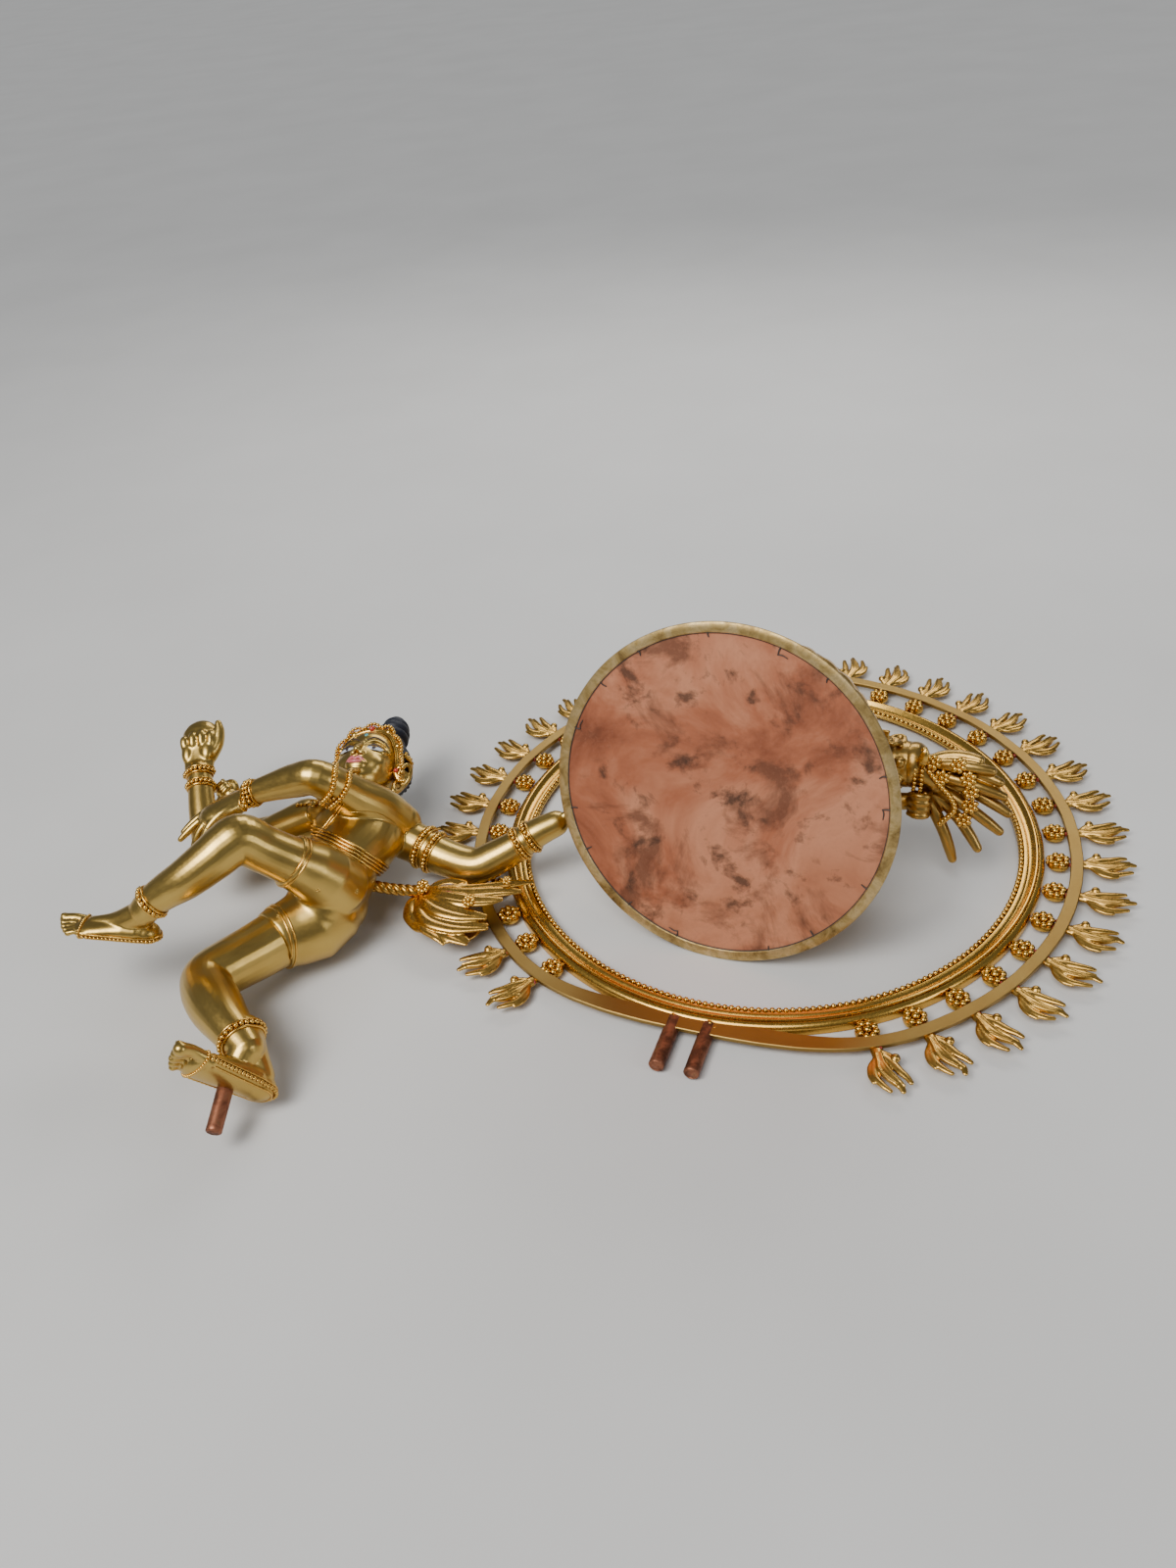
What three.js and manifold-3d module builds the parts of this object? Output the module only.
// A gilt brass nataraja, taken apart the way it is stored: the flame ring lies flat on the floor,
// the lotus pedestal lies on its side inside it, and the four-armed dancer lies on its back.
// Millimetres, +Z up, +Y away from the viewer. The origin is the middle of the layout, on the floor.
import * as THREE from 'three';
import { mergeVertices } from 'three/addons/utils/BufferGeometryUtils.js';
import loadManifold from 'manifold-3d';

const wasm = await loadManifold();
wasm.setup();

// ---- driving dimensions ----
const gap = 0.3;                      // clearance between pieces that touch
const radians = Math.PI / 180;

const ring = {
  innerRadius: 239.6, outerRadius: 258.2, crestRadius: 250.5, height: 14,
  beadRadius: 2.4, beadCircle: 236.8, beadHeight: 10.5, segments: 56,
};
const hoop = {
  innerRadius: 280, outerRadius: 291, bottom: 7.5, top: 12, segments: 68,
  footAngle: -114, footHalfAngle: 38, footInset: 19, footReach: 27,
};
const stations = { count: 34, first: -83.2, last: 215, rosetteCircle: 269.7, rosetteRadius: 12.6 };
const flame = { length: 47, rootWidth: 11, thickness: 7, bottom: 5 };
const pin = { radius: 6.5, length: 53, height: 7, spacing: 29.4, centreAngle: -114.4, root: 259.2 };

const pedestal = {
  x: -61, y: -115, turn: -27.5, rimRadius: 151.4, deckRadius: 114, height: 120,
  rimHeight: 9, rimTaper: 3, rimWidth: 9.2, plateThickness: 2, plateRecess: 1.5, wall: 3.2, deckThickness: 7.5,
};
const socket = { radius: 6.9, ringPinY: -92, figureDepth: 38, backHeight: 167, overrun: 20 };

const figurePlace = { x: -470.3, y: -292.5, z: 24.1 };
const spigot = { radius: 6.5, seat: 9 };

// Joint centres of the dancer, in its own standing frame: +X to its left, -Y to its front, +Z up.
const body = {
  waist: [-4, -7, 274], chest: [-2, -2, 318], chestRight: [-38, 4, 332], chestLeft: [30, 5, 334],
  neckBase: [1, 4, 346], neckTop: [6, -2, 378],
  headLow: [4, -17, 397], headHigh: [4, -14, 417], crown: [3, -9, 424], knotLow: [2, 4, 448],
  knotTop: [1, 6, 466],
  hipRight: [-12, 12, 222], hipLeft: [30, -18, 233], belly: [-1, -6, 256],
  hemRight: [-38, 1, 187], hemLeft: [-4, -65, 224],
  kneeRight: [-76, -11, 122], calfRight: [-47, -27, 90], ankleRight: [-3, -25, 47],
  heelRight: [5, -2, 34], archRight: [-14, -24, 27], ballRight: [-28, -46, 22], toeRight: [-40, -63, 16],
  kneeLeft: [-38, -103, 216], calfLeft: [-70, -88, 200], ankleLeft: [-124, -58, 163],
  heelLeft: [-130, -38, 158], ballLeft: [-170, -54, 148], toeLeft: [-197, -60, 140],
  sole: [-16, -13, 17], spigotEnd: [-15, -6, -22],
  frontLeftShoulder: [43, 3, 338], frontLeftElbow: [-10, -75, 311], frontLeftWrist: [-83, -58, 303],
  frontLeftPalm: [-108, -52, 283], frontLeftTip: [-137, -42, 254],
  rearLeftShoulder: [46, 20, 326], rearLeftElbow: [123, 32, 299], rearLeftWrist: [180, 9, 319],
  rearLeftPalm: [203, 3, 330], rearLeftTip: [221, 0, 342],
  frontRightShoulder: [-52, 0, 328], frontRightElbow: [-125, -4, 267], frontRightWrist: [-158, -42, 352],
  frontRightFist: [-167, -53, 377],
  rearRightShoulder: [-62, 20, 340], rearRightElbow: [-168, 36, 334], rearRightWrist: [-144, -2, 344],
  rearRightPalm: [-133, -17, 350],
  sashRoot: [26, 10, 248], sashBend: [50, 22, 258], sashKnot: [71, 30, 268],
};

// ---- materials ----
const looks = {
  gilt: { color: 0xc99a35, roughness: 0.32, metalness: 1 },
  giltDark: { color: 0xa87424, roughness: 0.42, metalness: 1 },
  copper: { color: 0xb4624a, roughness: 0.55, metalness: 1 },
  agedBrass: { color: 0xa08a5a, roughness: 0.5, metalness: 1 },
  pinCopper: { color: 0x9a5a3c, roughness: 0.5, metalness: 1 },
  hairPaint: { color: 0x14161f, roughness: 0.6, metalness: 0 },
};

function namedMesh(name, geometry, look) {
  const mesh = new THREE.Mesh(geometry, new THREE.MeshStandardMaterial(looks[look]));
  mesh.name = name;
  return mesh;
}

// ---- solids: closed geometry to a manifold and back ----
function solid(geometry) {
  const bare = new THREE.BufferGeometry();
  bare.setAttribute('position', geometry.getAttribute('position').clone());
  if (geometry.index) bare.setIndex(geometry.index.clone());
  const merged = mergeVertices(bare, 1e-3);
  const source = merged.index.array;
  const triVerts = [];
  for (let i = 0; i < source.length; i += 3) {
    const [a, b, c] = [source[i], source[i + 1], source[i + 2]];
    if (a !== b && b !== c && c !== a) triVerts.push(a, b, c);
  }
  const vertProperties = new Float32Array(merged.getAttribute('position').array);
  return new wasm.Manifold(new wasm.Mesh({ numProp: 3, vertProperties, triVerts: new Uint32Array(triVerts) }));
}

const joined = (solids) => solids.reduce((whole, next) => whole.add(next));
const cutBy = (whole, tools) => tools.reduce((rest, tool) => rest.subtract(tool), whole);

// The largest body of a solid, so that a slice left behind by a cut is dropped.
function mainBody(whole) {
  return whole.decompose().reduce((best, next) => (next.volume() > best.volume() ? next : best));
}

function geometryOf(whole) {
  const mesh = whole.getMesh();
  const geometry = new THREE.BufferGeometry();
  geometry.setAttribute('position', new THREE.BufferAttribute(new Float32Array(mesh.vertProperties), 3));
  geometry.setIndex(new THREE.BufferAttribute(new Uint32Array(mesh.triVerts), 1));
  geometry.computeVertexNormals();
  return geometry;
}

const at = (point) => new THREE.Vector3(...point);

// Turns a shape built along +Y from the origin so that it runs from one point towards another.
function aim(geometry, from, to) {
  const direction = at(to).sub(at(from)).normalize();
  const turn = new THREE.Quaternion().setFromUnitVectors(new THREE.Vector3(0, 1, 0), direction);
  return geometry.applyQuaternion(turn).translate(...from);
}

// A tapered limb with round ends between two points.
function bone(from, to, fromRadius, toRadius, grow = 0, sides = 8) {
  const length = at(to).distanceTo(at(from));
  const profile = [];
  for (let step = 0; step <= 2; step += 1) {
    const angle = (-90 + 45 * step) * radians;
    const radius = fromRadius + grow;
    profile.push(new THREE.Vector2(step ? radius * Math.cos(angle) : 0, radius * Math.sin(angle)));
  }
  for (let step = 0; step <= 2; step += 1) {
    const angle = 45 * step * radians;
    const radius = toRadius + grow;
    profile.push(new THREE.Vector2(step < 2 ? radius * Math.cos(angle) : 0, length + radius * Math.sin(angle)));
  }
  return solid(aim(new THREE.LatheGeometry(profile, sides), from, to));
}

// A chain of bones: [point, radius] pairs, joined into one limb.
function limb(chain, grow = 0) {
  const bones = chain.slice(1).map(([point, radius], index) => {
    const [start, startRadius] = chain[index];
    return bone(start, point, startRadius, radius, grow);
  });
  return joined(bones);
}

function rod(from, to, radius, sides = 16) {
  const length = at(to).distanceTo(at(from));
  const geometry = new THREE.CylinderGeometry(radius, radius, length, sides).translate(0, length / 2, 0);
  return solid(aim(geometry, from, to));
}

const polar = (radius, degrees, z) => [
  radius * Math.cos(degrees * radians), radius * Math.sin(degrees * radians), z,
];

// A body of revolution about +Z from [radius, height] pairs.
function turned(profile, segments) {
  const points = profile.map(([radius, height]) => new THREE.Vector2(radius, height));
  return new THREE.LatheGeometry(points, segments).rotateX(Math.PI / 2);
}

// ---- flame ring ----
function innerRing() {
  const { innerRadius, outerRadius, crestRadius, height, segments } = ring;
  const profile = [
    [innerRadius, 0], [outerRadius, 0], [outerRadius, height * 0.45], [crestRadius + 4, height * 0.82],
    [crestRadius, height], [crestRadius - 4, height * 0.86], [innerRadius + 3.5, height * 0.6],
    [innerRadius, height * 0.56], [innerRadius, 0],
  ];
  return solid(turned(profile, segments));
}

function beadRing() {
  const profile = [];
  for (let corner = 0; corner <= 4; corner += 1) {
    const angle = corner * 90 * radians;
    profile.push([
      ring.beadCircle + ring.beadRadius * Math.cos(angle), ring.beadHeight + ring.beadRadius * Math.sin(angle),
    ]);
  }
  return solid(turned(profile, ring.segments));
}

// 1 at the foot of the hoop, falling smoothly to 0 where the hoop runs true.
function footWeight(degrees) {
  const offset = Math.abs(degrees - hoop.footAngle);
  return offset < hoop.footHalfAngle ? Math.cos((offset / hoop.footHalfAngle) * Math.PI / 2) ** 2 : 0;
}

function pinLine(side) {
  const middle = polar(pin.root, pin.centreAngle, pin.height);
  const across = polar(side * pin.spacing / 2, pin.centreAngle + 90, 0);
  const out = polar(pin.length, pin.centreAngle, 0);
  const root = [middle[0] + across[0], middle[1] + across[1], middle[2]];
  return [root, [root[0] + out[0], root[1] + out[1], root[2]]];
}

function outerHoop() {
  const outline = new THREE.Shape();
  const hole = new THREE.Path();
  for (let step = 0; step < hoop.segments; step += 1) {
    const degrees = -180 + step * 360 / hoop.segments;
    const weight = footWeight(degrees);
    const outer = polar(hoop.outerRadius - hoop.footInset * weight, degrees, 0);
    const innerRadius = Math.max(ring.outerRadius + 2 * gap, hoop.innerRadius - hoop.footReach * weight);
    const inner = polar(innerRadius, degrees, 0);
    outline[step ? 'lineTo' : 'moveTo'](outer[0], outer[1]);
    hole[step ? 'lineTo' : 'moveTo'](inner[0], inner[1]);
  }
  outline.holes.push(hole);
  const thickness = hoop.top - hoop.bottom;
  const band = new THREE.ExtrudeGeometry(outline, { depth: thickness, bevelEnabled: false });
  const solids = [solid(band.translate(0, 0, hoop.bottom))];
  for (let index = 0; index < stations.count; index += 1) {
    const degrees = stationAngle(index);
    const rosette = new THREE.CylinderGeometry(stations.rosetteRadius, stations.rosetteRadius, thickness, 6);
    rosette.rotateX(Math.PI / 2).rotateZ(degrees * radians);
    rosette.translate(...polar(stations.rosetteCircle, degrees, hoop.bottom + thickness / 2));
    solids.push(solid(rosette));
  }
  const pins = [-1, 1].map((side) => rod(...pinLine(side), pin.radius + gap));
  return mainBody(cutBy(joined(solids), pins));
}

const stationAngle = (index) => (
  stations.first + index * (stations.last - stations.first) / (stations.count - 1)
);

// One flame tongue, leaning towards the crown of the ring: a narrow root, a belly and split tips.
function flameSolid(index) {
  const lean = index < stations.count / 2 ? 1 : -1;
  const { length, rootWidth, thickness, bottom } = flame;
  const corners = [
    [gap, -rootWidth / 2], [length * 0.28, -12], [length * 0.72, -13], [length * 0.8, -6],
    [length * 0.88, 0], [length, 7], [length * 0.84, 11], [length * 0.45, 12], [gap, rootWidth / 2],
  ];
  const outline = new THREE.Shape(corners.map(([along, across]) => new THREE.Vector2(along, across * lean)));
  const tongue = new THREE.ExtrudeGeometry(outline, { depth: thickness, bevelEnabled: false });
  const degrees = stationAngle(index);
  tongue.translate(hoop.outerRadius, 0, bottom).rotateZ(degrees * radians);
  return tongue;
}

function buildRing() {
  const group = new THREE.Group();
  group.add(namedMesh('inner_ring', geometryOf(innerRing()), 'gilt'));
  group.add(namedMesh('bead_ring', geometryOf(beadRing()), 'gilt'));
  group.add(namedMesh('outer_hoop', geometryOf(outerHoop()), 'giltDark'));
  group.add(namedMesh('ring_pin_left', geometryOf(rod(...pinLine(-1), pin.radius)), 'pinCopper'));
  group.add(namedMesh('ring_pin_right', geometryOf(rod(...pinLine(1), pin.radius)), 'pinCopper'));
  for (let index = 0; index < stations.count; index += 1) {
    const name = `flame_${String(index + 1).padStart(2, '0')}`;
    group.add(namedMesh(name, geometryOf(solid(flameSolid(index))), 'gilt'));
  }
  return group;
}

// ---- pedestal, in its own upright frame with the rim at z = 0 ----
function baseRim() {
  const { rimRadius, rimHeight, rimTaper, rimWidth, plateThickness, plateRecess } = pedestal;
  const bore = rimRadius - rimWidth;
  const ledge = plateRecess + plateThickness + gap;
  return solid(turned([
    [bore, 0], [rimRadius, 0], [rimRadius - rimTaper, rimHeight], [bore - 3, rimHeight],
    [bore - 3, ledge], [bore, ledge], [bore, 0],
  ], 48));
}

function copperPlate() {
  const { rimRadius, rimWidth, plateThickness, plateRecess } = pedestal;
  const plate = new THREE.CylinderGeometry(
    rimRadius - rimWidth - 2 * gap, rimRadius - rimWidth - 2 * gap, plateThickness, 48);
  return plate.rotateX(Math.PI / 2).translate(0, 0, plateRecess + plateThickness / 2);
}

// The hollow double-lotus shell: two bulging tiers of petals with a waist between them.
function lotusShell() {
  const { rimRadius, rimHeight, height, deckThickness, wall } = pedestal;
  const foot = rimHeight + gap;
  const top = height - deckThickness - gap;
  const outside = [
    [rimRadius - 5, foot], [rimRadius - 8, 22], [rimRadius - 14, 40], [rimRadius - 24, 51],
    [110, 57], [110, 62], [119, 69], [123.5, 84], [118.5, 100], [112, top],
  ];
  const inside = outside.map(([radius, z]) => [radius - wall, z]).reverse();
  return solid(turned([...outside, ...inside, outside[0]], 36));
}

function lotusDeck() {
  const { height, deckRadius, deckThickness } = pedestal;
  const plate = new THREE.CylinderGeometry(deckRadius, deckRadius, deckThickness, 48);
  plate.rotateX(Math.PI / 2).translate(0, 0, height - deckThickness / 2);
  const holes = [-1, 1].map((side) => {
    const x = side * pin.spacing / 2;
    const [bottom, top] = [height - socket.overrun, height + socket.overrun];
    return rod([x, socket.ringPinY, bottom], [x, socket.ringPinY, top], socket.radius);
  });
  return cutBy(solid(plate), holes);
}

const dwarf = {
  shoulders: [60, 0, 147], middle: [10, 0, 144], seat: [-38, 0, 148],
  gripShoulder: [58, 24, 144], gripElbow: [90, 36, 137], gripWrist: [124, 21, 147], gripFist: [140, 19, 150],
  restShoulder: [58, -24, 144], restElbow: [88, -44, 133], restHand: [104, -56, 130],
  hip: [-42, 15, 144], knee: [-80, 34, 135], ankle: [-58, 58, 132], toe: [-40, 68, 129.5],
  head: [118, -4, 151], brow: [127, -5, 152], hairRoot: [142, 0, 152],
};
const mirrored = ([x, y, z]) => [x, -y, z];

function dwarfBody(grow = 0) {
  const d = dwarf;
  const leg = [[d.hip, 16], [d.knee, 13], [d.ankle, 9.5], [d.toe, 8]];
  return joined([
    limb([[d.shoulders, 22], [d.middle, 22], [d.seat, 26]], grow),
    limb([[d.gripShoulder, 12], [d.gripElbow, 10], [d.gripWrist, 7.5], [d.gripFist, 9]], grow),
    limb([[d.restShoulder, 12], [d.restElbow, 10], [d.restHand, 8]], grow),
    limb(leg, grow),
    limb(leg.map(([point, radius]) => [mirrored(point), radius]), grow),
    bone(d.shoulders, d.head, 13, 12, grow),
  ]);
}

const dwarfHead = (grow = 0) => bone(dwarf.head, dwarf.brow, 21, 22, grow, 12);

// Hair locks fan out from a cap on the crown.
function dwarfHair() {
  const [x, y, z] = dwarf.hairRoot;
  const solids = [bone([x - 3, y - 4, z], [x + 6, y - 2, z], 19, 15)];
  const count = 7;
  for (let index = 0; index < count; index += 1) {
    const angle = (-9 + index * 73 / (count - 1)) * radians;
    const length = 66 + 20 * Math.sin((index / (count - 1)) * Math.PI * 0.6);
    const tip = [x + length * Math.cos(angle), y + length * Math.sin(angle), z + (index % 2 ? 5 : -3)];
    solids.push(bone([x, y, z], tip, 6.5, 3.6, 0, 8));
  }
  return joined(solids);
}

function buildPedestal() {
  const { rimRadius, deckRadius, height, turn, x, y } = pedestal;
  const tip = Math.atan2(rimRadius - deckRadius, height);
  const side = new THREE.Vector3(Math.cos(turn * radians), Math.sin(turn * radians), 0);
  const axis = new THREE.Vector3(
    -Math.cos(tip) * Math.sin(turn * radians), Math.cos(tip) * Math.cos(turn * radians), -Math.sin(tip));
  const group = new THREE.Group();
  const down = new THREE.Vector3().crossVectors(axis, side);
  group.quaternion.setFromRotationMatrix(new THREE.Matrix4().makeBasis(side, down, axis));
  group.position.set(x, y, rimRadius * Math.cos(tip) + 0.1);

  // Everything of the dwarf that would reach below the deck's top is cut level with it.
  const belowDeck = rod([0, 0, height / 2], [0, 0, height + gap], 2 * deckRadius, 24);
  const backSocket = rod(
    [0, 0, socket.backHeight - socket.figureDepth], [0, 0, socket.backHeight + socket.overrun], socket.radius);
  const wholeDwarf = cutBy(dwarfBody(), [belowDeck, backSocket]);
  const head = mainBody(cutBy(dwarfHead(), [dwarfBody(gap), belowDeck]));
  const hair = mainBody(cutBy(dwarfHair(), [dwarfHead(gap), dwarfBody(gap)]));
  group.add(namedMesh('base_rim', geometryOf(baseRim()), 'agedBrass'));
  group.add(namedMesh('copper_plate', geometryOf(solid(copperPlate())), 'copper'));
  group.add(namedMesh('lotus_base', geometryOf(lotusShell()), 'gilt'));
  group.add(namedMesh('lotus_deck', geometryOf(lotusDeck()), 'gilt'));
  group.add(namedMesh('dwarf_body', geometryOf(mainBody(wholeDwarf)), 'gilt'));
  group.add(namedMesh('dwarf_head', geometryOf(head), 'gilt'));
  group.add(namedMesh('dwarf_hair', geometryOf(hair), 'giltDark'));
  return group;
}

// ---- dancing figure, in its own standing frame ----
const b = body;
const torso = (grow = 0) => joined([
  limb([[b.waist, 34], [b.chest, 37]], grow),
  limb([[b.chestRight, 23], [b.chestLeft, 23]], grow),
  limb([[b.neckBase, 18], [b.neckTop, 15]], grow),
]);
const pelvis = (grow = 0) => joined([
  limb([[b.hipRight, 37], [b.belly, 34]], grow),
  limb([[b.hipLeft, 32], [b.belly, 34]], grow),
  limb([[b.hipRight, 37], [b.hemRight, 25.5]], grow),
  limb([[b.hipLeft, 32], [b.hemLeft, 23.5]], grow),
]);
const head = (grow = 0) => bone(b.headLow, b.headHigh, 23, 26, grow, 14);
const standingLeg = () => limb([
  [b.hemRight, 24], [b.kneeRight, 23], [b.calfRight, 24.5], [b.ankleRight, 17], [b.heelRight, 15.5],
  [b.archRight, 15], [b.ballRight, 13.5], [b.toeRight, 9],
]);
const raisedLeg = () => limb([
  [b.hemLeft, 22], [b.kneeLeft, 22.5], [b.calfLeft, 18.5], [b.ankleLeft, 14.5], [b.heelLeft, 13.5],
  [b.ballLeft, 11], [b.toeLeft, 7.5],
]);
const frontLeftArm = (grow = 0) => limb([
  [b.frontLeftShoulder, 21], [b.frontLeftElbow, 17], [b.frontLeftWrist, 10.5], [b.frontLeftPalm, 10.5],
  [b.frontLeftTip, 5],
], grow);
const rearLeftArm = () => limb([
  [b.rearLeftShoulder, 18], [b.rearLeftElbow, 15.5], [b.rearLeftWrist, 10.5], [b.rearLeftPalm, 9.5],
  [b.rearLeftTip, 5],
]);
const frontRightArm = (grow = 0) => limb([
  [b.frontRightShoulder, 19], [b.frontRightElbow, 15], [b.frontRightWrist, 11.5], [b.frontRightFist, 17],
], grow);
const rearRightArm = () => limb([
  [b.rearRightShoulder, 16.5], [b.rearRightElbow, 14], [b.rearRightWrist, 9.5], [b.rearRightPalm, 9],
]);
const topknot = () => bone(b.knotLow, b.knotTop, 14, 8, 0, 12);

// The beaded band that frames the face and runs round the head.
function diadem(grow = 0) {
  const band = [[25 - grow, -4 - grow], [32 + grow, -4 - grow], [34.5 + grow, 2], [31 + grow, 9 + grow],
    [25 - grow, 9 + grow], [25 - grow, -4 - grow]];
  const points = band.map(([radius, height]) => new THREE.Vector2(radius, height));
  return solid(aim(new THREE.LatheGeometry(points, 20), b.crown, b.knotLow));
}

function spigotRod(grow = 0) {
  const along = at(b.spigotEnd).sub(at(b.sole)).normalize();
  const seat = at(b.sole).addScaledVector(along, -spigot.seat);
  return rod(seat.toArray(), b.spigotEnd, spigot.radius + grow);
}

function sashCord() {
  const path = new THREE.CatmullRomCurve3([at(b.sashRoot), at(b.sashBend), at(b.sashKnot)]);
  const section = new THREE.Shape();
  for (let corner = 0; corner < 8; corner += 1) {
    const angle = corner * 45 * radians;
    section[corner ? 'lineTo' : 'moveTo'](4.2 * Math.cos(angle), 4.2 * Math.sin(angle));
  }
  return solid(new THREE.ExtrudeGeometry(section, { steps: 8, extrudePath: path, bevelEnabled: false }));
}

// The sash flares behind its knot into a flat fan of folded ribbon ends.
function sashFan() {
  const outline = new THREE.Shape([
    [74, 273], [66, 252], [72, 228], [94, 208], [124, 222], [112, 240], [150, 250], [158, 268],
    [182, 282], [180, 289], [140, 291], [104, 287],
  ].map(([x, z]) => new THREE.Vector2(x, z)));
  const fan = new THREE.ExtrudeGeometry(outline, { depth: 7, bevelEnabled: false });
  return solid(fan.rotateX(Math.PI / 2).translate(0, 35, 0));
}

function buildFigure() {
  const group = new THREE.Group();
  const left = new THREE.Vector3(0.9761, -0.2165, 0.0189).normalize();
  const up = new THREE.Vector3(0.2132, 0.9707, 0.1108).normalize();
  const back = new THREE.Vector3().crossVectors(up, left).normalize();
  const across = new THREE.Vector3().crossVectors(back, up);
  group.quaternion.setFromRotationMatrix(new THREE.Matrix4().makeBasis(across, back, up));
  group.position.set(figurePlace.x, figurePlace.y, figurePlace.z);

  const trunk = [torso(gap)];
  const pieces = {
    torso: torso(),
    dhoti: cutBy(pelvis(), trunk),
    head: cutBy(head(), trunk),
    diadem: cutBy(diadem(), [head(gap)]),
    topknot: cutBy(topknot(), [head(gap), diadem(gap)]),
    standing_leg: cutBy(standingLeg(), [pelvis(gap), spigotRod(gap)]),
    raised_leg: cutBy(raisedLeg(), [pelvis(gap)]),
    foot_spigot: spigotRod(),
    front_left_arm: cutBy(frontLeftArm(), trunk),
    rear_left_arm: cutBy(rearLeftArm(), [...trunk, frontLeftArm(gap)]),
    front_right_arm: cutBy(frontRightArm(), trunk),
    rear_right_arm: cutBy(rearRightArm(), [...trunk, frontRightArm(gap)]),
    sash_cord: cutBy(sashCord(), [pelvis(gap), torso(gap)]),
    sash_fan: cutBy(sashFan(), [rearLeftArm(), pelvis(gap)]),
  };
  pieces.sash_cord = cutBy(pieces.sash_cord, [sashFan()]);
  for (const [name, piece] of Object.entries(pieces)) {
    const look = { topknot: 'hairPaint', foot_spigot: 'pinCopper' }[name] ?? 'gilt';
    group.add(namedMesh(name, geometryOf(mainBody(piece)), look));
  }
  return group;
}

// ---- the layout, centred on the floor ----
const layout = new THREE.Group();
layout.add(buildRing(), buildPedestal(), buildFigure());
layout.updateMatrixWorld(true);
const bounds = new THREE.Box3().setFromObject(layout, true);
const middle = bounds.getCenter(new THREE.Vector3());
layout.position.set(-middle.x, -middle.y, 0);

const group = new THREE.Group();
group.add(layout);

export default group;
